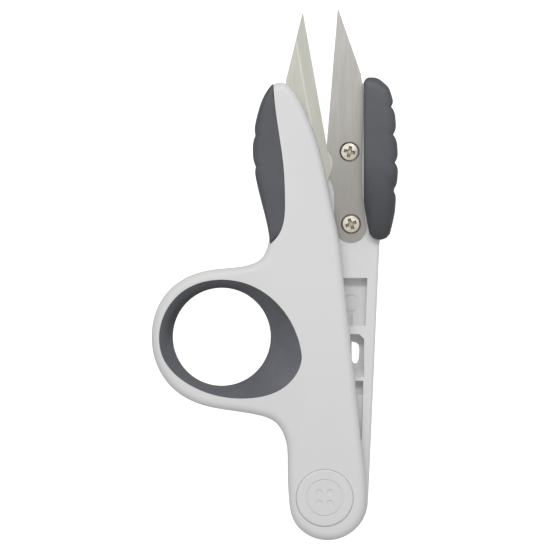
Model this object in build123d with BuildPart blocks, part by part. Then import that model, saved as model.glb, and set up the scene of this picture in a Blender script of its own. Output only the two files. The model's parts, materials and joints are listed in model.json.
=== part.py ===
from build123d import *
from math import cos, radians, sin
import os

# Thread snips with a finger ring, lying on their back. Millimetres.
# The pivot axis is the Z axis, the back rests on z = 0, the blades point along +Y.

# ---- driving dimensions -------------------------------------------------------------

# Levels through the thickness, from the back to the front.
rear_top = 6.2  # top face of the rear lever
shear_level = 6.4  # flat face of the lower blade
blade_thickness = 1.2
blade_gap = 0.06  # between the two flat blade faces
front_underside = 6.6  # underside of the front lever where it passes over the rear one
front_top = 12.4
cap_top = 12.6

# The two levers.
close_angle = 4.8  # travel from open to closed, degrees
sweep_margin = 1.2  # extra turn that the hollow behind the front lever allows, degrees
sweep_clearance = 0.3
lever_rounding = 1.8  # front edges of the front lever
back_rounding = 1.2
rear_rounding = 0.7

# The blades: one stamping, used twice.
mirror_x = 4.36  # the upper blade is the lower one mirrored about this line,
upper_setback = 0.9  # moved towards the pivot
blade_spread = 5.5  # and turned by this angle about the pivot
bevel_width = 2.9
bevel_length = 42.0
ridge_width = 0.38  # narrow facet between the bevel and the back of the blade
ridge_drop = 0.06
edge_thickness = 0.2
screw_points = [(5.7, 78.4), (6.05, 62.0)]  # on the lower blade
screw_names = ["tip", "root"]
cross_turns = [-13, 22]  # how the cross of each lower screw lies, degrees

# Blade screws.
screw_radius = 0.95
screw_head_radius = 1.9
screw_head_rim = 0.12
screw_length = 4.8
screw_point_height = 0.6
screw_tip_room = 0.2
blade_hole_radius = 1.1
screw_head_dome = 0.12
cross_width = 0.78
cross_length = 2.6
cross_depth = 0.7

# Pivot.
sleeve_radius = 2.6
sleeve_bore_radius = 1.25
sleeve_bottom = 1.2
sleeve_top = 9.34
sleeve_floor = 2.4
running_clearance = 0.04
boss_radius = 3.5
spring_well_radius = 5.7
well_floor = 1.8
well_roof = 8.6
washer_thickness = 0.36
washer_clearance = 0.1
head_washer_radius = 3.5
head_washer_thickness = 0.4
shank_bottom = 3.2
head_radius = 2.7
head_height = 1.3
head_rounding = 0.8
head_cross_width = 0.7
head_cross_length = 3.2
head_cross_depth = 0.9
head_pocket_radius = 3.8
head_pocket_floor = 9.3
cap_radius = 6.5
cap_seat = 11.4
cap_clearance = 0.03
cap_rounding = 0.5
cap_skirt_outer = 5.4
cap_skirt_inner = 4.6
cap_skirt_height = 1.1
skirt_clearance = 0.1
motif_depth = 0.2
eye_circle = 1.7
eye_radius = 0.75
ring_outer = 4.3
ring_inner = 3.9

# Return spring: a coil round the pivot with one straight leg in each lever.
wire_diameter = 0.9
coil_radius = 4.7
spring_bottom = 2.4
spring_top = 8.0
spring_turns = 3.5
leg_end = 14.0
leg_room = 0.5
leg_groove = 1.04

# Finger ring.
finger_centre = (-23.3, 36.4)
finger_radius = 11.1
finger_land = 0.8  # height of the straight stretch at the middle of the liner

# Stop post on the underside of the front lever, in the first window of the rear lever.
stop_centre = (2.1, 45.0)
stop_radius = 1.2
stop_bottom = 3.7

# Windows in the rear lever.
window_floor = 3.2
step_height = 0.6
groove_radius = 2.0
groove_width = 0.4
groove_depth = 0.25
slot_floor = 2.4
pocket_floor = 3.7
channel_floor = 5.3

# Soft pads.
pad_back = 0.1
front_pad_top = 12.5
rear_pad_top = 12.5
pad_rounding = 2.0
pad_back_rounding = 1.1
tongue_top = 10.8  # the levers reach into the pads between these two levels
tongue_back = 1.6

overlap = 0.5  # how far an added shape runs into the one it grows from

parts_folder = "parts"


# ---- outlines -----------------------------------------------------------------------


def turned(point, degrees):
    """A point turned about the pivot axis, counterclockwise seen from the front."""
    angle = radians(degrees)
    x, y = point
    return (x * cos(angle) - y * sin(angle), x * sin(angle) + y * cos(angle))


def as_lower(point):
    return point


def as_upper(point):
    x, y = point
    return turned((2 * mirror_x - x, y - upper_setback), blade_spread)


blade_tip = (2.98, 110.45)
blade_tip_crown = (3.14, 110.6)
blade_tip_back = (3.3, 110.4)
blade_heel = (0.45, 79.0)


def blade_face(place):
    """The blade stamping: straight edge, heel, round root, shoulder and spine."""
    heel_and_neck = [blade_heel, (-0.2, 75.2), (0.7, 73.2), (1.9, 70.6), (2.3, 67.4), (2.55, 61.2)]
    right_side = [(9.45, 61.2), (8.7, 67.0), (8.5, 78.7), (8.78, 91.0), (8.32, 96.0)]
    with BuildSketch() as face:
        with BuildLine():
            Line(place(blade_tip), place(blade_heel))
            Spline(*[place(p) for p in heel_and_neck])
            ThreePointArc(place(heel_and_neck[-1]), place((6.0, 57.75)), place(right_side[0]))
            Spline(*[place(p) for p in right_side])
            Line(place(right_side[-1]), place(blade_tip_back))
            ThreePointArc(place(blade_tip_back), place(blade_tip_crown), place(blade_tip))
        make_face()
    return face.sketch


def front_lever_face():
    edge_foot = (8.2, 13.0)
    edge_head = (3.5, 56.5)
    hub_right = [(9.1, 5.2), (9.35, 0.0), (8.25, -5.2), (5.2, -8.4)]
    hub_left = [(0.63, -9.63), (-4.0, -8.3), (-6.9, -5.3), (-8.1, 0.0)]
    arm = [(-8.35, 7.0), (-8.7, 12.6), (-11.3, 17.2), (-15.5, 18.8), (-19.5, 19.5)]
    ring = [(-28.0, 21.1), (-34.6, 25.0), (-38.3, 31.0), (-39.15, 37.0), (-37.3, 44.1), (-32.8, 49.0)]
    ring_top = [(-25.7, 51.6), (-18.5, 52.4), (-14.3, 54.2), (-12.7, 57.6)]
    grip = [(-12.9, 66.0), (-14.1, 76.0), (-13.9, 85.0), (-13.45, 90.5)]
    head = [(-11.7, 93.5), (-9.2, 93.85), (-6.9, 92.0), (-4.5, 87.8), (-1.75, 80.8)]
    shoulder = [(0.3, 73.0), (1.85, 65.5)]
    down = Vector(*edge_foot) - Vector(*edge_head)
    with BuildSketch() as face:
        with BuildLine():
            Line(edge_head, edge_foot)
            Spline(
                edge_foot,
                *hub_right,
                *hub_left,
                *arm,
                *ring,
                *ring_top,
                *grip,
                *head,
                *shoulder,
                edge_head,
                tangents=(down, down),
                tangent_scalars=(1.0, 1.0),
            )
        make_face()
    return face.sketch


rear_hidden_edge = [
    (-7.9, -0.8),
    (-7.7, 4.0),
    (-6.9, 10.0),
    (-5.2, 17.0),
    (-3.0, 26.0),
    (-1.6, 36.0),
    (-0.9, 46.0),
    (-0.4, 56.0),
    (-0.2, 67.0),
]


def rear_lever_face():
    hub_left = rear_hidden_edge[0]
    hub_right = (9.9, -1.0)
    side_foot = (10.05, 1.8)
    side_head = (12.5, 57.7)
    blade_edge = [(6.0, 93.6), (4.2, 88.0), (3.0, 79.0), (2.0, 76.2), (0.5, 74.6), (0.0, 72.0)]
    neck = rear_hidden_edge[-1]
    with BuildSketch() as face:
        with BuildLine():
            ThreePointArc(hub_left, (0.9, -9.65), hub_right)
            Line(hub_right, side_foot)
            Line(side_foot, side_head)
            Spline(side_head, (14.6, 69.0), (14.9, 80.0), (13.6, 90.0), (10.5, 94.2))
            Line((10.5, 94.2), blade_edge[0])
            Spline(*blade_edge, neck)
            Spline(*reversed(rear_hidden_edge))
        make_face()
    return face.sketch


def swept_hollow_face():
    """The room behind the front lever in which the rear lever and its blade turn."""
    blade_side = [(-0.3, 75.0), (0.4, 81.0), (1.5, 93.0)]
    wall = [
        (x - sweep_clearance, y)
        for x, y in (turned(p, close_angle + sweep_margin) for p in rear_hidden_edge[3:] + blade_side)
    ]
    wall_foot = (wall[0][0] - 0.5, 13.5)
    far = 20.0
    beyond_tip = 100.0
    with BuildSketch() as face:
        with BuildLine():
            Spline(*wall)
            Polyline(
                wall[-1],
                (wall[-1][0], beyond_tip),
                (far, beyond_tip),
                (far, -far),
                (-far, -far),
                (-far, wall_foot[1]),
                wall_foot,
                wall[0],
            )
        make_face()
    return face.sketch


def liner_face():
    """The egg-shaped seat of the liner in the front lever."""
    egg = [
        (-5.2, 32.6),
        (-6.7, 38.0),
        (-14.2, 46.8),
        (-22.9, 49.4),
        (-32.5, 46.4),
        (-37.3, 38.0),
        (-36.6, 31.8),
        (-29.1, 24.8),
        (-17.5, 22.5),
        (-8.3, 25.7),
    ]
    with BuildSketch() as face:
        with BuildLine():
            Spline(*egg, periodic=True)
        make_face()
    return face.sketch


def front_pad_face():
    foot = (-12.35, 57.4)
    head = (-11.6, 93.85)
    with BuildSketch() as face:
        with BuildLine():
            Spline(foot, (-13.3, 62.9), (-15.1, 70.0), (-16.3, 79.0), (-15.1, 87.3), (-13.4, 91.6), head)
            Spline(head, (-10.7, 85.0), (-9.3, 75.0), (-8.95, 67.5), (-9.9, 60.4), foot)
        make_face()
    return face.sketch


def rear_pad_face():
    corners = [
        (8.9, 95.2),
        (12.0, 95.2),
        (14.6, 93.0),
        (15.9, 89.0),
        (16.8, 75.5),
        (16.0, 64.5),
        (14.6, 58.4),
        (10.4, 58.4),
        (8.9, 66.5),
    ]
    corner_radii = [1.3, 3.0, 3.0, 9.0, 25.0, 12.0, 2.2, 2.2, 8.0]
    with BuildSketch() as face:
        with BuildLine():
            FilletPolyline(*corners, radius=corner_radii, close=True)
        make_face()
    return face.sketch


front_face = front_lever_face()
rear_face = rear_lever_face()
hollow_face = swept_hollow_face()
liner_seat = liner_face()
front_pad_outline = front_pad_face()
rear_pad_outline = rear_pad_face()
lower_outline = blade_face(as_lower)
upper_outline = blade_face(as_upper)

# ---- rear lever ---------------------------------------------------------------------

with BuildPart() as rear_lever:
    with BuildSketch():
        add(rear_face)
    extrude(amount=rear_top)
    fillet(rear_lever.faces().sort_by(Axis.Z)[-1].edges(), rear_rounding)
    fillet(rear_lever.faces().sort_by(Axis.Z)[0].edges(), rear_rounding)

    # The wall that stands up inside the soft pad.
    with BuildSketch(Plane.XY.offset(rear_top - overlap)):
        with BuildLine():
            Line((10.3, 65.0), (10.3, 92.4))
            Spline((10.3, 92.4), (12.3, 91.6), (14.0, 86.0), (14.6, 78.0), (14.2, 69.5), (12.9, 65.4))
            Line((12.9, 65.4), (10.3, 65.0))
        make_face()
    extrude(amount=tongue_top - rear_top + overlap)
    with BuildSketch():
        add(rear_pad_outline)
    extrude(amount=tongue_back, mode=Mode.SUBTRACT)

    # The seat of the lower blade and its two screw holes.
    with BuildSketch(Plane.XY.offset(shear_level - blade_thickness)):
        add(lower_outline)
    extrude(amount=blade_thickness, mode=Mode.SUBTRACT)
    with BuildSketch(Plane.XY.offset(shear_level - blade_thickness)):
        with Locations(*screw_points):
            Circle(screw_radius)
    extrude(amount=-(screw_length - blade_thickness + screw_tip_room), mode=Mode.SUBTRACT)

    # First window, with a step at its foot and a shallow round groove in its floor.
    with BuildSketch(Plane.XY.offset(window_floor)):
        with BuildLine():
            Polyline((0.8, 38.9), (9.35, 38.9), (9.75, 49.75), (0.8, 49.75), close=True)
        make_face()
    extrude(amount=rear_top - window_floor, mode=Mode.SUBTRACT)
    with BuildSketch(Plane.XY.offset(window_floor - overlap)):
        with Locations((7.9, 40.2)):
            Rectangle(3.0, 2.8)
    extrude(amount=step_height + overlap)
    with BuildSketch(Plane.XY.offset(window_floor - groove_depth)):
        with Locations((6.05, 43.96)):
            Circle(groove_radius)
            Circle(groove_radius - groove_width, mode=Mode.SUBTRACT)
    extrude(amount=groove_depth, mode=Mode.SUBTRACT)

    # Second window: a clipped corner, a slot right through and a ramp at its foot.
    left, right, foot, ramp_foot = 5.9, 9.0, 29.6, 27.2
    with BuildSketch(Plane.XY.offset(slot_floor)):
        with BuildLine():
            Polyline((left, foot), (right, foot), (right, 35.9), (7.9, 37.0), (left, 37.0), close=True)
        make_face()
    extrude(amount=rear_top - slot_floor, mode=Mode.SUBTRACT)
    with BuildSketch(Plane.YZ.offset(left)):
        with BuildLine():
            Polyline((foot, slot_floor), (foot, rear_top), (ramp_foot, rear_top), close=True)
        make_face()
    extrude(amount=right - left, mode=Mode.SUBTRACT)
    with BuildSketch():
        with BuildLine():
            Polyline(
                (6.3, 31.0), (6.7, 30.35), (7.35, 30.35), (7.8, 31.0), (8.0, 33.3), (7.85, 34.5), (7.3, 35.0),
                (6.2, 35.3),
                close=True,
            )
        make_face()
    extrude(amount=slot_floor, mode=Mode.SUBTRACT)

    # Third window: a deep pocket, and below it a shallow channel that narrows towards the pivot.
    with BuildSketch(Plane.XY.offset(pocket_floor)):
        with BuildLine():
            Polyline((7.0, 26.4), (8.8, 26.4), (8.8, 23.3), (7.2, 23.3), close=True)
        make_face()
    extrude(amount=rear_top - pocket_floor, mode=Mode.SUBTRACT)
    with BuildSketch(Plane.XY.offset(channel_floor)):
        with BuildLine():
            Polyline(
                (5.5, 23.5), (8.75, 23.5), (8.7, 18.5), (8.45, 13.0), (7.0, 13.0), (5.5, 17.0), close=True
            )
        make_face()
    extrude(amount=rear_top - channel_floor, mode=Mode.SUBTRACT)

    # Spring well round the boss of the pivot sleeve, and the groove for the spring's leg.
    with BuildSketch(Plane.XY.offset(well_floor)):
        Circle(spring_well_radius)
        with Locations((coil_radius, (leg_end + leg_room) / 2)):
            Rectangle(leg_groove, leg_end + leg_room)
        Circle(boss_radius, mode=Mode.SUBTRACT)
    extrude(amount=rear_top - well_floor, mode=Mode.SUBTRACT)
    with BuildSketch(Plane.XY.offset(sleeve_bottom)):
        Circle(sleeve_radius)
    extrude(amount=rear_top - sleeve_bottom, mode=Mode.SUBTRACT)

# ---- front lever --------------------------------------------------------------------

with BuildPart() as front_lever:
    with BuildSketch():
        add(front_face)
    extrude(amount=front_top)
    fillet(front_lever.faces().sort_by(Axis.Z)[-1].edges(), lever_rounding)
    fillet(front_lever.faces().sort_by(Axis.Z)[0].edges(), back_rounding)
    with BuildSketch():
        add(hollow_face)
    extrude(amount=front_underside, mode=Mode.SUBTRACT)
    with BuildSketch():
        add(liner_seat)
    extrude(amount=front_top, mode=Mode.SUBTRACT)

    # The soft pad wraps round what is left between the two levels of the tongue.
    with BuildSketch(Plane.XY.offset(tongue_top)):
        add(front_pad_outline)
    extrude(amount=front_top - tongue_top, mode=Mode.SUBTRACT)
    with BuildSketch():
        add(front_pad_outline)
    extrude(amount=tongue_back, mode=Mode.SUBTRACT)

    # The seat of the upper blade and its two screw holes.
    upper_flat = shear_level + blade_gap
    with BuildSketch(Plane.XY.offset(upper_flat)):
        add(upper_outline)
    extrude(amount=blade_thickness, mode=Mode.SUBTRACT)
    with BuildSketch(Plane.XY.offset(upper_flat + blade_thickness)):
        with Locations(*[as_upper(p) for p in screw_points]):
            Circle(screw_radius)
    extrude(amount=screw_length - blade_thickness + screw_tip_room, mode=Mode.SUBTRACT)

    # Spring well round the bore, the groove for the other leg, and the pocket for the head.
    with BuildSketch(Plane.XY.offset(front_underside)):
        Circle(spring_well_radius)
        with Locations((-coil_radius, (leg_end + leg_room) / 2)):
            Rectangle(leg_groove, leg_end + leg_room)
        Circle(boss_radius, mode=Mode.SUBTRACT)
    extrude(amount=well_roof - front_underside, mode=Mode.SUBTRACT)
    with BuildSketch(Plane.XY.offset(front_underside)):
        Circle(sleeve_radius + running_clearance)
    extrude(amount=front_top - front_underside, mode=Mode.SUBTRACT)
    with BuildSketch(Plane.XY.offset(head_pocket_floor)):
        Circle(head_pocket_radius)
    extrude(amount=front_top - head_pocket_floor, mode=Mode.SUBTRACT)
    with BuildSketch(Plane.XY.offset(cap_seat)):
        Circle(cap_radius + cap_clearance)
    extrude(amount=front_top - cap_seat, mode=Mode.SUBTRACT)
    with BuildSketch(Plane.XY.offset(cap_seat)):
        Circle(cap_skirt_outer + skirt_clearance)
        Circle(cap_skirt_inner - skirt_clearance, mode=Mode.SUBTRACT)
    extrude(amount=-(cap_skirt_height + skirt_clearance), mode=Mode.SUBTRACT)

    # The stop post, which meets the end of the first window when the snips are open.
    with BuildSketch(Plane.XY.offset(stop_bottom)):
        with Locations(stop_centre):
            Circle(stop_radius)
    extrude(amount=front_underside - stop_bottom)

# ---- soft parts ---------------------------------------------------------------------

with BuildPart() as rear_grip_pad:
    with BuildSketch(Plane.XY.offset(pad_back)):
        add(rear_pad_outline)
    extrude(amount=rear_pad_top - pad_back)
    fillet(rear_grip_pad.faces().sort_by(Axis.Z)[-1].edges(), pad_rounding)
    fillet(rear_grip_pad.faces().sort_by(Axis.Z)[0].edges(), pad_back_rounding)
    add(rear_lever.part, mode=Mode.SUBTRACT)

with BuildPart() as front_grip_pad:
    with BuildSketch(Plane.XY.offset(pad_back)):
        add(front_pad_outline)
    extrude(amount=front_pad_top - pad_back)
    add(front_lever.part, mode=Mode.SUBTRACT)

with BuildPart() as finger_ring_liner:
    middle = front_top / 2
    with BuildSketch(Plane.XY.offset(pad_back)):
        add(liner_seat)
    extrude(amount=front_top - pad_back)
    for outer_level, inner_level in ((front_top, middle + finger_land), (pad_back, middle - finger_land)):
        with BuildSketch(Plane.XY.offset(outer_level)):
            add(liner_seat)
        with BuildSketch(Plane.XY.offset(inner_level)):
            with Locations(finger_centre):
                Circle(finger_radius)
        loft(mode=Mode.SUBTRACT)
    with BuildSketch(Plane.XY.offset(middle - finger_land)):
        with Locations(finger_centre):
            Circle(finger_radius)
    extrude(amount=2 * finger_land, mode=Mode.SUBTRACT)

# ---- blades -------------------------------------------------------------------------


def bevel_cutter(place, flat_level, away):
    """A long wedge that grinds one side of the cutting edge, away from the flat face."""
    beyond = 2.0
    tip = place(blade_tip)
    along = (Vector(*place(blade_heel)) - Vector(*tip)).normalized()
    start = Vector(*tip, flat_level) - along * beyond
    plane = Plane(origin=start, x_dir=Vector(0, 0, away), z_dir=along)
    with BuildSketch(plane) as wedge:
        with BuildLine():
            Polyline(
                (edge_thickness, 0),
                (blade_thickness - ridge_drop, bevel_width - ridge_width),
                (blade_thickness, bevel_width),
                (blade_thickness + beyond, bevel_width),
                (blade_thickness + beyond, -beyond),
                (edge_thickness, -beyond),
                close=True,
            )
        make_face()
    extrude(wedge.sketch, amount=bevel_length + beyond, mode=Mode.SUBTRACT)


with BuildPart() as lower_blade:
    with BuildSketch(Plane.XY.offset(shear_level - blade_thickness)):
        add(lower_outline)
    extrude(amount=blade_thickness)
    with Locations(*[(x, y, shear_level) for x, y in screw_points]):
        CounterSinkHole(blade_hole_radius, blade_hole_radius + blade_thickness, blade_thickness, 90)
    bevel_cutter(as_lower, shear_level, -1)

with BuildPart() as upper_blade:
    with BuildSketch(Plane.XY.offset(upper_flat)):
        add(upper_outline)
    extrude(amount=blade_thickness)
    for screw_point in screw_points:
        x, y = as_upper(screw_point)
        with Locations(Plane(origin=(x, y, upper_flat), z_dir=(0, 0, -1))):
            CounterSinkHole(blade_hole_radius, blade_hole_radius + blade_thickness, blade_thickness, 90)
    bevel_cutter(as_upper, upper_flat, 1)

# ---- screws -------------------------------------------------------------------------


def cross_recess(plane, width, length, depth):
    """A cross cut into the head at the plane."""
    with BuildSketch(plane) as cross:
        Rectangle(length, width)
        Rectangle(width, length)
    extrude(cross.sketch, amount=-depth, taper=12, mode=Mode.SUBTRACT)


def countersunk_screw(point, blade_flat, out, turn, label):
    """A flush screw whose head sinks into the blade face, out = 1 to the front or -1."""
    x, y = point
    x_dir = (cos(radians(turn)), sin(radians(turn)), 0)
    top = screw_head_radius - blade_hole_radius - blade_thickness + screw_head_rim
    seat = Plane(origin=(x, y, blade_flat), x_dir=x_dir, z_dir=(0, 0, out))
    with BuildPart() as screw:
        with BuildSketch(Plane(seat.origin, x_dir=seat.x_dir, z_dir=-seat.y_dir)):
            with BuildLine():
                TangentArc((0, top + screw_head_dome), (screw_head_radius, top), tangent=(1, 0))
                Polyline(
                    (screw_head_radius, top),
                    (screw_head_radius, top - screw_head_rim),
                    (blade_hole_radius, -blade_thickness),
                    (screw_radius, -blade_thickness),
                    (screw_radius, screw_point_height - screw_length),
                    (0, -screw_length),
                    (0, top + screw_head_dome),
                )
            make_face()
        revolve(axis=Axis(seat.origin, seat.z_dir))
        cross_recess(seat.offset(top + screw_head_dome), cross_width, cross_length, cross_depth)
    screw.part.label = label
    return screw.part


blade_screws = []
for name, point, cross_turn in zip(screw_names, screw_points, cross_turns):
    blade_screws.append(
        countersunk_screw(point, shear_level, 1, cross_turn, f"lower_blade_{name}_screw")
    )
    blade_screws.append(
        countersunk_screw(as_upper(point), upper_flat, -1, -cross_turn, f"upper_blade_{name}_screw")
    )

# ---- pivot --------------------------------------------------------------------------

with BuildPart() as pivot_sleeve:
    with BuildSketch(Plane.XY.offset(sleeve_bottom)):
        Circle(sleeve_radius)
    extrude(amount=sleeve_top - sleeve_bottom)
    with BuildSketch(Plane.XY.offset(sleeve_top)):
        Circle(sleeve_bore_radius)
    extrude(amount=-(sleeve_top - sleeve_floor), mode=Mode.SUBTRACT)

with BuildPart() as spacer_washer:
    with BuildSketch(Plane.XY.offset(rear_top)):
        Circle(boss_radius - washer_clearance)
        Circle(sleeve_radius + washer_clearance, mode=Mode.SUBTRACT)
    extrude(amount=washer_thickness)

with BuildPart() as screw_washer:
    with BuildSketch(Plane.XY.offset(sleeve_top)):
        Circle(head_washer_radius)
        Circle(sleeve_bore_radius + washer_clearance, mode=Mode.SUBTRACT)
    extrude(amount=head_washer_thickness)

head_base = sleeve_top + head_washer_thickness
with BuildPart() as pivot_screw:
    with BuildSketch(Plane.XY.offset(shank_bottom)):
        Circle(sleeve_bore_radius)
    extrude(amount=head_base - shank_bottom)
    with BuildSketch(Plane.XY.offset(head_base)):
        Circle(head_radius)
    extrude(amount=head_height)
    fillet(pivot_screw.faces().sort_by(Axis.Z)[-1].edges(), head_rounding)
    cross_recess(
        Plane.XY.offset(head_base + head_height), head_cross_width, head_cross_length, head_cross_depth
    )

with BuildPart() as pivot_cap:
    with BuildSketch(Plane.XY.offset(cap_seat)):
        Circle(cap_radius)
    extrude(amount=cap_top - cap_seat)
    fillet(pivot_cap.faces().sort_by(Axis.Z)[-1].edges(), cap_rounding)
    with BuildSketch(Plane.XY.offset(cap_seat)):
        Circle(cap_skirt_outer)
        Circle(cap_skirt_inner, mode=Mode.SUBTRACT)
    extrude(amount=-cap_skirt_height)
    # A plain sewing-button motif: four shallow eyes inside a shallow ring.
    with BuildSketch(Plane.XY.offset(cap_top)):
        Circle(ring_outer)
        Circle(ring_inner, mode=Mode.SUBTRACT)
        with PolarLocations(eye_circle, 4, start_angle=45):
            Circle(eye_radius)
    extrude(amount=-motif_depth, mode=Mode.SUBTRACT)

# ---- return spring ------------------------------------------------------------------

with BuildPart() as return_spring:
    with BuildLine() as spring_path:
        Line((coil_radius, leg_end, spring_bottom), (coil_radius, 0, spring_bottom))
        Helix(
            pitch=(spring_top - spring_bottom) / spring_turns,
            height=spring_top - spring_bottom,
            radius=coil_radius,
            center=(0, 0, spring_bottom),
            lefthand=True,
        )
        Line((-coil_radius, 0, spring_top), (-coil_radius, leg_end, spring_top))
    with BuildSketch(Plane(origin=(coil_radius, leg_end, spring_bottom), z_dir=(0, -1, 0))):
        Circle(wire_diameter / 2)
    sweep(path=spring_path.wires()[0])

# ---- write every piece --------------------------------------------------------------

rear_lever.part.label = "rear_lever"
front_lever.part.label = "front_lever"
rear_grip_pad.part.label = "rear_grip_pad"
front_grip_pad.part.label = "front_grip_pad"
finger_ring_liner.part.label = "finger_ring_liner"
lower_blade.part.label = "lower_blade"
upper_blade.part.label = "upper_blade"
pivot_sleeve.part.label = "pivot_sleeve"
spacer_washer.part.label = "spacer_washer"
screw_washer.part.label = "screw_washer"
pivot_screw.part.label = "pivot_screw"
pivot_cap.part.label = "pivot_cap"
return_spring.part.label = "return_spring"

pieces = [
    rear_lever.part,
    front_lever.part,
    rear_grip_pad.part,
    front_grip_pad.part,
    finger_ring_liner.part,
    lower_blade.part,
    upper_blade.part,
    pivot_sleeve.part,
    spacer_washer.part,
    screw_washer.part,
    pivot_screw.part,
    pivot_cap.part,
    return_spring.part,
    *blade_screws,
]

os.makedirs(parts_folder, exist_ok=True)
for piece in pieces:
    export_step(piece, f"{parts_folder}/{piece.label}.step")
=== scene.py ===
import json
from math import cos, pi, sin, tau

import bmesh
import bpy
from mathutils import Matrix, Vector
from mathutils.bvhtree import BVHTree


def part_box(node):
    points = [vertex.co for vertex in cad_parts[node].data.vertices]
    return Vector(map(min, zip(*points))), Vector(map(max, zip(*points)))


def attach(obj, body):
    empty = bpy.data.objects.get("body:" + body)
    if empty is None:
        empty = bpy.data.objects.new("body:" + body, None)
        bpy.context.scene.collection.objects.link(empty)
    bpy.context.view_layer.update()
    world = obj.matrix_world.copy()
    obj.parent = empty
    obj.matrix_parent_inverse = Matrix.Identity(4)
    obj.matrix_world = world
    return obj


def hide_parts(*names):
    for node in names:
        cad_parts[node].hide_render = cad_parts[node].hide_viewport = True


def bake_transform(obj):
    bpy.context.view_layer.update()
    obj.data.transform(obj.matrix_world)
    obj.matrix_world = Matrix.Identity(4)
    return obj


# Thread snips with a finger ring, seen from straight above. Metres, in the frame of the CAD model:
# the pivot axis is Z, the blades point along +Y and the back rests on z = 0.

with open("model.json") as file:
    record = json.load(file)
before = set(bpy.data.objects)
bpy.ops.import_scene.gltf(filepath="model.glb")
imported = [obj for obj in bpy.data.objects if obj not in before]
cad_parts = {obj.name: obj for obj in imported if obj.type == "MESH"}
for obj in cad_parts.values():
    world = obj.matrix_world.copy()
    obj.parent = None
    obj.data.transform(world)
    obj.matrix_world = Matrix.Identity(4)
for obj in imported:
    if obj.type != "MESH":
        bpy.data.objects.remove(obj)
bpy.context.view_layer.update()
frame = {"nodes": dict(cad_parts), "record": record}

MM = 0.001
inset = 0.03 * MM  # how far the walls of the rubber pieces stay inside those of the CAD model
nodes = frame["nodes"]


# ---- material helpers ---------------------------------------------------------------


class Shader:
    """A node material with short calls for the nodes used below."""

    def __init__(self, name):
        self.material = bpy.data.materials.new(name)
        self.material.use_nodes = True
        self.tree = self.material.node_tree
        self.bsdf = self.tree.nodes["Principled BSDF"]
        self.place = self.add("ShaderNodeTexCoord").outputs["Object"]

    def add(self, kind, **settings):
        node = self.tree.nodes.new(kind)
        for key, value in settings.items():
            setattr(node, key, value)
        return node

    def link(self, source, target):
        self.tree.links.new(source, target)

    def mapped(self, scale):
        """Object coordinates, scaled so that 1 is 1 / scale metres."""
        mapping = self.add("ShaderNodeMapping")
        mapping.inputs["Scale"].default_value = scale
        self.link(self.place, mapping.inputs["Vector"])
        return mapping.outputs["Vector"]

    def noise(self, vector, detail=3.0, roughness=0.5):
        noise = self.add("ShaderNodeTexNoise")
        noise.inputs["Scale"].default_value = 1.0
        noise.inputs["Detail"].default_value = detail
        noise.inputs["Roughness"].default_value = roughness
        self.link(vector, noise.inputs["Vector"])
        return noise.outputs["Fac"]

    def spread(self, value, low, high, to_low, to_high):
        """The value's stretch from low to high, moved to the stretch from to_low to to_high."""
        node = self.add("ShaderNodeMapRange", interpolation_type="SMOOTHSTEP")
        for key, number in (
            ("From Min", low), ("From Max", high), ("To Min", to_low), ("To Max", to_high)
        ):
            node.inputs[key].default_value = number
        self.link(value, node.inputs["Value"])
        return node.outputs["Result"]

    def parts(self, vector):
        """The X, Y and Z of a vector output."""
        node = self.add("ShaderNodeSeparateXYZ")
        self.link(vector, node.inputs[0])
        return node.outputs

    def math(self, operation, first, second):
        node = self.add("ShaderNodeMath", operation=operation)
        for socket, value in zip(node.inputs, (first, second)):
            if isinstance(value, (int, float)):
                socket.default_value = value
            else:
                self.link(value, socket)
        return node.outputs[0]

    def blended(self, factor, first, second):
        """Two colours, or colour outputs, mixed by the factor."""
        node = self.add("ShaderNodeMix", data_type="RGBA")
        self.link(factor, node.inputs["Factor"])
        for key, value in (("A", first), ("B", second)):
            socket = [s for s in node.inputs if s.name == key and s.type == "RGBA"][0]
            if isinstance(value, tuple):
                socket.default_value = (*value, 1.0)
            else:
                self.link(value, socket)
        return [s for s in node.outputs if s.type == "RGBA"][0]

    def bump(self, *layers):
        """Bump layers, each (height output, depth in metres)."""
        normal = None
        for height, depth in layers:
            node = self.add("ShaderNodeBump")
            node.inputs["Strength"].default_value = 1.0
            node.inputs["Distance"].default_value = depth
            self.link(height, node.inputs["Height"])
            if normal is not None:
                self.link(normal, node.inputs["Normal"])
            normal = node.outputs["Normal"]
        self.link(normal, self.bsdf.inputs["Normal"])

    def shelter(self, distance, low=0.35, high=0.85):
        """1 in tight corners and crevices, 0 in the open."""
        node = self.add("ShaderNodeAmbientOcclusion", samples=6)
        node.inputs["Distance"].default_value = distance
        return self.spread(node.outputs["AO"], low, high, 1, 0)

    def constant(self, **values):
        for key, value in values.items():
            self.bsdf.inputs[key.replace("_", " ")].default_value = value

    def drive(self, key, output):
        self.link(output, self.bsdf.inputs[key])


def lever_plastic():
    """Satin moulded plastic: a fine spark-eroded grain, faint flow clouds, edges polished by use."""
    s = Shader("lever_plastic")
    clouds = s.noise(s.mapped((60, 35, 60)), detail=2.0)
    specks = s.noise(s.mapped((900, 900, 900)), detail=4.0)
    tone = s.blended(s.spread(clouds, 0.35, 0.65, 0, 1), (0.79, 0.79, 0.79), (0.81, 0.81, 0.808))
    s.drive("Base Color", s.blended(s.spread(specks, 0.6, 0.8, 0, 0.25), tone, (0.74, 0.74, 0.735)))
    worn = s.spread(s.add("ShaderNodeNewGeometry").outputs["Pointiness"], 0.5, 0.56, 0, 1)
    satin = s.spread(specks, 0.3, 0.7, 0.44, 0.56)
    s.drive("Roughness", s.math("SUBTRACT", satin, s.math("MULTIPLY", worn, 0.1)))
    grain = s.noise(s.mapped((5200, 5200, 5200)), detail=2.0)
    s.bump((clouds, 0.00006), (grain, 0.000006))
    s.constant(Specular_IOR_Level=0.4)
    return s.material


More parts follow.
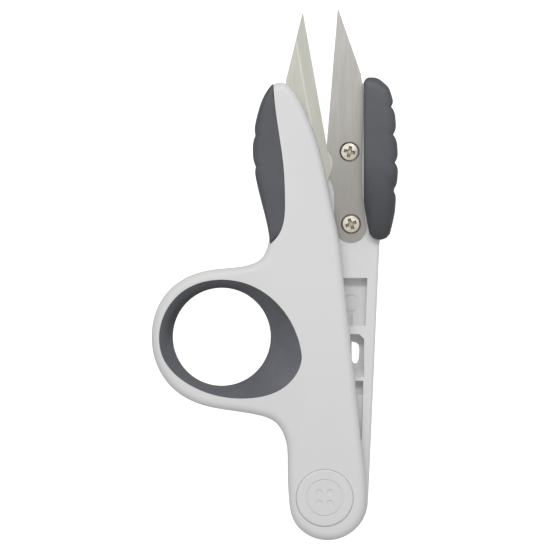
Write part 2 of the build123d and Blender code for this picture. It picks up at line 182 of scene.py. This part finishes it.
def upper_hole_shade(s):
    """Near 1 deep in the upper left of the finger hole, where painted shade darkens the rubber; 0
    elsewhere.
    """
    place = s.parts(s.place)
    upper_left = tau / 3  # as an angle from +X
    upwards = s.math("MULTIPLY", place["Y"], sin(upper_left))
    that_way = s.math("ADD", upwards, s.math("MULTIPLY", place["X"], cos(upper_left)))
    side = s.spread(that_way, 0.0462, 0.0535, 0, 0.9)
    depth = s.spread(place["Z"], 0.0085, 0.0123, 1, 0)
    return s.math("MULTIPLY", side, depth)


def grip_rubber(name, paleness, painted_shade_along_y=None, painted_shade_mask=None):
    """Soft dark rubber: a close pebble grain, a dusty bloom and a low sheen.

    painted_shade_along_y is how much painted shade darkens the rubber: a share at one height on the Y axis
    and a share at a second one, with an even change between them. painted_shade_mask is a mask of where
    the painted shade is darkest.
    """
    s = Shader(name)
    dust = s.noise(s.mapped((140, 140, 140)), detail=5.0, roughness=0.6)
    plain, dusty, pore = (
        tuple(paleness * channel for channel in colour)
        for colour in ((0.082, 0.085, 0.095), (0.096, 0.099, 0.110), (0.060, 0.063, 0.072))
    )
    base = s.blended(s.spread(dust, 0.35, 0.7, 0, 1), plain, dusty)
    # Painted shade: darker along Y, from one share at one height to another share at a second height.
    if painted_shade_along_y:
        (foot, share_at_foot), (head, share_at_head) = painted_shade_along_y
        painted_shade_share = s.spread(s.parts(s.place)["Y"], foot, head, share_at_foot, share_at_head)
        base = s.blended(painted_shade_share, base, tuple(0.35 * channel for channel in plain))
    # Painted shade: darker still where the mask is high.
    if painted_shade_mask:
        base = s.blended(painted_shade_mask(s), base, tuple(0.2 * channel for channel in plain))
    pores = s.noise(s.mapped((2600, 2600, 2600)), detail=2.0)
    s.drive("Base Color", s.blended(s.spread(pores, 0.58, 0.75, 0, 0.5), base, pore))
    s.drive("Roughness", s.spread(dust, 0.3, 0.7, 0.46, 0.58))
    s.bump((s.noise(s.mapped((420, 420, 420)), detail=3.0), 0.00002), (pores, 0.000012))
    s.constant(Specular_IOR_Level=0.6)
    return s.material


def steel(name, colour, dark, grain, roughness, bevel_painted_light=1.0, dull=None):
    """Steel with long fine grinding scratches, slight stains and painted shade in the corners.

    bevel_painted_light is how much brighter the slanted faces are painted than the flat ones, as painted
    light; the narrow ridge between the two gets a painted highlight, a little brighter still. dull is the
    darker colour the steel takes towards the root of a blade.
    """
    s = Shader(name)
    fine = s.noise(s.mapped(grain), detail=4.0, roughness=0.7)
    coarse = s.noise(s.mapped((grain[0] * 0.22, grain[1] * 0.5, grain[2] * 0.22)), detail=3.0)
    stain = s.noise(s.mapped((110, 60, 110)), detail=5.0, roughness=0.6)
    tone = s.blended(s.spread(fine, 0.3, 0.7, 0, 1), dark, colour)
    steel_colour = s.blended(s.spread(stain, 0.5, 0.75, 0, 0.35), tone, dark)
    if dull:
        along = s.parts(s.place)["Y"]
        steel_colour = s.blended(s.spread(along, 0.062, 0.104, 0.9, 0.0), steel_colour, dull)
    # Painted light: the slanted faces, picked by the tilt of their normal, are painted brighter than the
    # flat ones, and the narrow ridge between them gets a painted highlight.
    if bevel_painted_light > 1:
        slope = s.math("ABSOLUTE", s.parts(s.add("ShaderNodeNewGeometry").outputs["Normal"])["Z"], 0.0)
        painted_lit_bevel = tuple(min(channel * bevel_painted_light, 1.0) for channel in colour)
        painted_ridge_highlight = tuple(min(channel * 1.08, 1.0) for channel in painted_lit_bevel)
        with_painted_ridge = s.blended(s.spread(slope, 0.988, 0.996, 0.4, 0), steel_colour, painted_ridge_highlight)
        steel_colour = s.blended(s.spread(slope, 0.93, 0.975, 1, 0), with_painted_ridge, painted_lit_bevel)
    # Painted shade: the colour darkens to brown in corners and crevices, where the AO node finds little
    # open space.
    s.drive("Base Color", s.blended(s.shelter(0.0016, 0.15, 0.5), steel_colour, (0.14, 0.12, 0.095)))
    s.drive("Roughness", s.spread(fine, 0.25, 0.75, roughness - 0.04, roughness + 0.05))
    s.bump((coarse, 0.0000012), (fine, 0.0000008))
    s.constant(Metallic=1.0, Anisotropic=0.1)
    return s.material


def nickel():
    """Nickel plating with a warm cast, with painted shade in the recess of the cross."""
    s = Shader("screw_nickel")
    haze = s.noise(s.mapped((700, 700, 700)), detail=4.0)
    painted_recess_shade = s.shelter(0.0009, 0.5, 0.9)
    plating = s.blended(s.spread(haze, 0.35, 0.7, 0, 1), (0.80, 0.76, 0.66), (0.88, 0.85, 0.77))
    # Painted shade: the plating darkens to brown where the AO node finds a recess.
    s.drive("Base Color", s.blended(painted_recess_shade, plating, (0.29, 0.235, 0.16)))
    s.drive("Roughness", s.spread(haze, 0.3, 0.7, 0.24, 0.36))
    s.bump((s.noise(s.mapped((3200, 3200, 3200)), detail=2.0), 0.000002))
    s.constant(Metallic=1.0)
    return s.material


def nylon():
    """Natural nylon: milky, slightly cloudy, faintly waxy."""
    s = Shader("washer_nylon")
    clouds = s.noise(s.mapped((500, 500, 500)), detail=3.0)
    s.drive("Base Color", s.blended(clouds, (0.74, 0.72, 0.66), (0.82, 0.80, 0.75)))
    s.drive("Roughness", s.spread(clouds, 0.3, 0.7, 0.38, 0.5))
    s.bump((s.noise(s.mapped((4000, 4000, 4000))), 0.000003))
    return s.material


blade_grain = (2600, 120, 2600)
blade_roughness = 0.34
materials = {
    "lever_plastic": lever_plastic(),
    "grip_rubber": grip_rubber("grip_rubber", 1.0),
    "blade_steel": steel(
        "blade_steel",
        (0.57, 0.555, 0.525),
        (0.545, 0.53, 0.50),
        blade_grain,
        blade_roughness,
        dull=(0.41, 0.395, 0.365),
    ),
    "screw_nickel": nickel(),
    "pivot_steel": steel("pivot_steel", (0.60, 0.60, 0.60), (0.5, 0.5, 0.5), (300, 300, 2600), 0.3),
    "washer_nylon": nylon(),
    "spring_steel": steel("spring_steel", (0.50, 0.49, 0.47), (0.4, 0.39, 0.37), (900, 900, 900), 0.32),
}

# Pieces that differ a little from the others in their slot.
variants = {
    "upper_blade": steel(
        "blade_steel_upper",
        (0.635, 0.63, 0.565),
        (0.61, 0.605, 0.54),
        blade_grain,
        blade_roughness,
        bevel_painted_light=1.3,
    ),
    "finger_ring_liner": grip_rubber(
        "grip_rubber_liner", 1.82, painted_shade_along_y=((0.022, 0.0), (0.050, 0.16)), painted_shade_mask=upper_hole_shade
    ),
    "rear_grip_pad": grip_rubber("grip_rubber_rear", 1.08, painted_shade_along_y=((0.056, 0.58), (0.088, 0.0))),
}

slot_of = {row["node"]: row["material_slot"] for row in frame["record"]["subparts"]}
finish_of = {name: variants.get(name, materials[slot]) for name, slot in slot_of.items()}
for name, node in nodes.items():
    node.data.materials.clear()
    node.data.materials.append(finish_of[name])

# ---- mesh helpers -------------------------------------------------------------------


def ray_tree(node):
    """A search tree for looking at the surface of a CAD node from outside."""
    return BVHTree.FromObject(nodes[node], bpy.context.evaluated_depsgraph_get())


def looked_at(tree, aim, out):
    """Where a solid starts when one looks from far outside towards a point inside it."""
    reach = 0.06
    return tree.ray_cast(aim + out * reach, -out)[0]


def finished(name, bm, body, replaced, crease=0.5):
    """A smooth-shaded piece from a bmesh, placed on its body in the stead of a CAD node."""
    bmesh.ops.recalc_face_normals(bm, faces=bm.faces)
    mesh = bpy.data.meshes.new(name)
    bm.to_mesh(mesh)
    bm.free()
    mesh.shade_smooth()
    mesh.set_sharp_from_angle(angle=crease)
    mesh.materials.append(finish_of[replaced])
    piece = bpy.data.objects.new(name, mesh)
    bpy.context.collection.objects.link(piece)
    if body:
        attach(piece, body)
    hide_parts(replaced)
    return piece


def skinned(bm, rings, closed=True):
    """Quads between neighbouring rings of points, each ring a closed loop; returns the vertices."""
    rows = [[bm.verts.new(p) for p in ring] for ring in rings]
    pairs = list(zip(rows, rows[1:]))
    if closed:
        pairs.append((rows[-1], rows[0]))
    for lower, upper in pairs:
        for i in range(len(lower)):
            j = (i + 1) % len(lower)
            bm.faces.new((lower[i], lower[j], upper[j], upper[i]))
    return rows


def carved(bm, node, margin):
    """The solid with the CAD node's own body cut out of it, so that the pad wraps round the lever."""
    cutter_bm = bmesh.new()
    cutter_bm.from_mesh(nodes[node].data)
    bmesh.ops.remove_doubles(cutter_bm, verts=cutter_bm.verts, dist=0.000002)
    objects = []
    for name, source in (("carve_pad", bm), ("carve_lever", cutter_bm)):
        mesh = bpy.data.meshes.new(name)
        source.to_mesh(mesh)
        source.free()
        objects.append(bpy.data.objects.new(name, mesh))
        bpy.context.collection.objects.link(objects[-1])
    pad, cutter = objects
    cut = pad.modifiers.new("cut", "BOOLEAN")
    cut.operation = "DIFFERENCE"
    cut.solver = "EXACT"
    cut.object = cutter
    shape = pad.evaluated_get(bpy.context.evaluated_depsgraph_get()).to_mesh()
    result = bmesh.new()
    result.from_mesh(shape)
    for item in objects:
        bpy.data.objects.remove(item)
    bmesh.ops.remove_doubles(result, verts=result.verts, dist=margin)
    return result


# ---- soft grip pads -----------------------------------------------------------------


def spine_rays(start, end, per_side, per_end):
    """(root, direction) pairs all the way round a spine: its two sides and a fan at each end."""
    along = (end - start).normalized()
    side = Vector((along.y, -along.x, 0.0))
    rays = [(start.lerp(end, i / per_side), side) for i in range(per_side)]
    rays += [(end, side * cos(pi * i / per_end) + along * sin(pi * i / per_end)) for i in range(per_end)]
    rays += [(end.lerp(start, i / per_side), -side) for i in range(per_side)]
    rays += [(start, -side * cos(pi * i / per_end) - along * sin(pi * i / per_end)) for i in range(per_end)]
    return rays


def grip_pad(node, lever, body, level, spine, crown, front_edge, back_edge, notch):
    """A moulded rubber pad. Its outline is that of the CAD solid; its front is crowned.

    crown is the height of the ridge over the spine. front_edge(out) and back_edge(out) give, for a
    direction, the height over which the surface turns from the wall into the face and how square that
    turn is (2 is round). notch(y, out) is how far, and which way, the scallops reach in.
    """
    tree = ray_tree(node)
    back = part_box(node)[0].z
    start, end = (Vector((x * MM, y * MM, level * MM)) for x, y in spine)
    steps = 14  # round each edge
    columns = []
    for root, out in spine_rays(start, end, per_side=90, per_end=56):
        hit = looked_at(tree, root, out)
        edge = hit - out * inset - notch(hit.y / MM, out)
        span = edge - root
        column = []
        for height, square, level_at, sign in (
            (*back_edge(out), back, 1), (*front_edge(out), crown * MM, -1)
        ):
            arc = []
            for i in range(steps + 1):
                angle = pi / 2 * i / steps
                inward = 1 - cos(angle) ** (2 / square)
                rise = 1 - sin(angle) ** (2 / square)
                point = edge - span * inward
                point.z = level_at + sign * height * MM * rise
                arc.append(point)
            column += arc[::-1] if sign > 0 else arc
        columns.append(column)
    bm = bmesh.new()
    skinned(bm, list(zip(*columns)), closed=False)
    bmesh.ops.remove_doubles(bm, verts=bm.verts, dist=0.004 * MM)
    bmesh.ops.dissolve_degenerate(bm, edges=bm.edges, dist=0.002 * MM)
    bmesh.ops.recalc_face_normals(bm, faces=bm.faces)
    return finished(node + "_rubber", carved(bm, lever, 0.001 * MM), body, node)


def directed(outward, outer, inner, head, foot):
    """A pair of numbers that changes smoothly with direction.

    outward is the sign of X away from the blades. outer holds that way, inner towards the blades,
    head along +Y and foot along -Y.
    """

    def value(out):
        side = outer if out.x * outward > 0 else inner
        tip = head if out.y > 0 else foot
        weight = out.y**4
        return tuple(a * (1 - weight) + b * weight for a, b in zip(side, tip))

    return value


def scallops(outward, depth, first, pitch, low_end, high_end):
    """Cusped finger notches on the outer side, one at each pitch from the first, in mm.

    outward is the sign of X away from the blades. The notches fade out at low_end and high_end.
    """
    sharpness = 1.9
    fade_length = 4.0

    def notch(y, out):
        across = out.x * outward
        if across <= 0:
            return Vector()
        cusp = (1 - abs(sin(pi * (y - first) / pitch))) ** sharpness
        fade_in = min(max((y - low_end) / fade_length, 0), 1)
        fade_out = min(max((high_end - y) / fade_length, 0), 1)
        return Vector((depth * cusp * fade_in * fade_out * min(2 * across, 1) * outward * MM, 0.0, 0.0))

    return notch


grip_pad(
    "rear_grip_pad",
    "rear_lever",
    "rear_half",
    level=8.2,
    spine=((12.1, 76.0), (12.1, 90.0)),
    crown=12.45,
    front_edge=directed(1, outer=(2.6, 4.0), inner=(1.2, 5.0), head=(2.2, 3.0), foot=(4.6, 1.9)),
    back_edge=directed(1, outer=(1.5, 3.0), inner=(1.0, 5.0), head=(1.3, 4.0), foot=(1.3, 4.0)),
    notch=scallops(1, depth=0.8, first=69.6, pitch=6.3, low_end=65.0, high_end=93.0),
)
grip_pad(
    "front_grip_pad",
    "front_lever",
    "front_half",
    level=11.6,
    spine=((-12.2, 62.0), (-12.0, 89.5)),
    crown=12.48,
    front_edge=directed(-1, outer=(2.6, 4.0), inner=(0.35, 6.0), head=(1.4, 3.0), foot=(1.4, 3.0)),
    back_edge=directed(-1, outer=(1.5, 3.0), inner=(0.4, 5.0), head=(0.8, 4.0), foot=(0.8, 4.0)),
    notch=scallops(-1, depth=0.45, first=75.0, pitch=7.0, low_end=70.5, high_end=88.0),
)

# ---- finger ring liner --------------------------------------------------------------


def ring_liner():
    """The liner of the finger hole: an egg outside, a circle inside, and a soft slope between them."""
    node = "finger_ring_liner"
    tree = ray_tree(node)
    low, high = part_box(node)
    middle = (low.z + high.z) / 2
    hole = Vector((-23.3, 36.4, 0)) * MM
    hole.z = middle
    radius = 11.1 * MM
    land = 0.8 * MM  # half the height of the straight wall of the hole
    turns, steps = 200, 14
    # 1 is a plain cone, less swells in front of it, most at the upper left of the hole
    least, most, fullest = 0.9, 0.5, 2.1
    columns = []
    for i in range(turns):
        angle = tau * i / turns
        out = Vector((cos(angle), sin(angle), 0))
        hit = looked_at(tree, hole + out * radius, out)
        width = (hit - hole).length - inset - radius
        fullness = least + (most - least) * max(0.0, cos(angle - fullest))
        column = []
        for top, sign in ((high.z, 1), (low.z, -1)):
            arc = []
            for k in range(steps + 1):
                across = (k / steps) ** 1.5
                point = hole + out * (radius + width * across)
                point.z = middle + sign * land + across**fullness * (top - middle - sign * land)
                arc.append(point)
            column += arc if sign > 0 else arc[::-1]
        columns.append(column)
    bm = bmesh.new()
    skinned(bm, list(zip(*columns)))
    return finished(node + "_rubber", bm, "front_half", node)


ring_liner()

# ---- return spring ------------------------------------------------------------------


def spring_wire():
    """The return spring: a round wire, coiled round the pivot, with a straight leg at each end."""
    node = "return_spring"
    low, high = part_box(node)
    wire = 0.45 * MM
    coil = high.x - wire
    bottom, top = low.z + wire, high.z - wire
    leg = high.y
    coils = 3.5
    along_leg, per_coil, sides = 10, 64, 18
    path = [Vector((coil, leg * (1 - i / along_leg), bottom)) for i in range(along_leg)]
    around = round(per_coil * coils)
    for i in range(around + 1):
        angle = tau * coils * i / around
        level = bottom + (top - bottom) * i / around
        path.append(Vector((coil * cos(angle), -coil * sin(angle), level)))
    path += [Vector((-coil, leg * i / along_leg, top)) for i in range(1, along_leg + 1)]
    rings = []
    for i, point in enumerate(path):
        before, after = path[max(i - 1, 0)], path[min(i + 1, len(path) - 1)]
        along = (after - before).normalized()
        across = along.cross(Vector((0, 0, 1))).normalized()
        over = across.cross(along)
        turns = [tau * k / sides for k in range(sides)]
        rings.append([point + (across * cos(turn) + over * sin(turn)) * wire for turn in turns])
    bm = bmesh.new()
    rows = skinned(bm, rings, closed=False)
    bm.faces.new(rows[0])
    bm.faces.new(rows[-1])
    piece = finished(node + "_wire", bm, None, node)
    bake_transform(piece)
    return piece


spring_wire()


# ---- stage --------------------------------------------------------------------------

centre = Vector((-0.01122, 0.05042, 0.0))  # of the picture


def pale_floor(name, level, grey, glow):
    """A large square of pale floor that glows a little, so that it stays white in soft light."""
    half = 3.0
    corners = [(-half, -half, 0), (half, -half, 0), (half, half, 0), (-half, half, 0)]
    mesh = bpy.data.meshes.new(name)
    mesh.from_pydata(corners, [], [(0, 1, 2, 3)])
    plane = bpy.data.objects.new(name, mesh)
    bpy.context.collection.objects.link(plane)
    plane.location.z = level
    paint = Shader(name)
    paint.constant(Base_Color=(grey, grey, grey, 1), Roughness=0.9)
    paint.constant(Emission_Color=(1, 1, 1, 1), Emission_Strength=glow)
    mesh.materials.append(paint.material)
    return plane


# The floor that is seen casts no light back on the object; the one under it does, more gently.
seen_floor = pale_floor("floor", -0.0003, 0.4, 1.05)
seen_floor.visible_diffuse = False
seen_floor.visible_glossy = False
seen_floor.visible_shadow = False
bounce_floor = pale_floor("floor_bounce", -0.0004, 0.7, 0.0)
bounce_floor.visible_camera = False


def soft_studio(from_the_side, from_above):
    """White light from all round, stronger from above than from the side."""
    world = bpy.data.worlds.new("studio")
    world.use_nodes = True
    tree = world.node_tree
    light = tree.nodes["Background"]
    light.inputs["Color"].default_value = (1, 1, 1, 1)
    direction = tree.nodes.new("ShaderNodeTexCoord")
    height = tree.nodes.new("ShaderNodeVectorMath")
    height.operation = "DOT_PRODUCT"
    height.inputs[1].default_value = (0.0, 0.0, 1.0)
    strength = tree.nodes.new("ShaderNodeMapRange")
    strength.inputs["To Min"].default_value = from_the_side
    strength.inputs["To Max"].default_value = from_above
    tree.links.new(direction.outputs["Generated"], height.inputs[0])
    tree.links.new(height.outputs["Value"], strength.inputs["Value"])
    tree.links.new(strength.outputs["Result"], light.inputs["Strength"])
    bpy.context.scene.world = world


soft_studio(0.29, 0.67)


def softbox(name, place, aim, size, power):
    """A rectangular lamp, which the camera doesn't see."""
    light = bpy.data.lights.new(name, "AREA")
    light.shape = "RECTANGLE"
    light.size, light.size_y = size
    light.energy = power
    lamp = bpy.data.objects.new(name, light)
    lamp.location = place
    lamp.rotation_euler = (Vector(aim) - Vector(place)).to_track_quat("-Z", "Y").to_euler()
    lamp.visible_camera = False
    bpy.context.collection.objects.link(lamp)


softbox("strip", centre + Vector((0, 0.24, 0.385)), centre, (0.35, 0.08), 0.75)

# The camera looks straight down from far away; the picture is view_width wide at view_level.
distance = 1.5
view_width = 0.12463
view_level = 0.009
sensor_width = 36.0
camera_data = bpy.data.cameras.new("camera")
camera = bpy.data.objects.new("camera", camera_data)
bpy.context.collection.objects.link(camera)
camera.location = centre + Vector((0, 0, distance))
camera_data.sensor_width = sensor_width
camera_data.lens = sensor_width * (distance - view_level) / view_width
camera_data.clip_end = 10.0
bpy.context.scene.camera = camera
bpy.context.scene.view_settings.view_transform = "Standard"
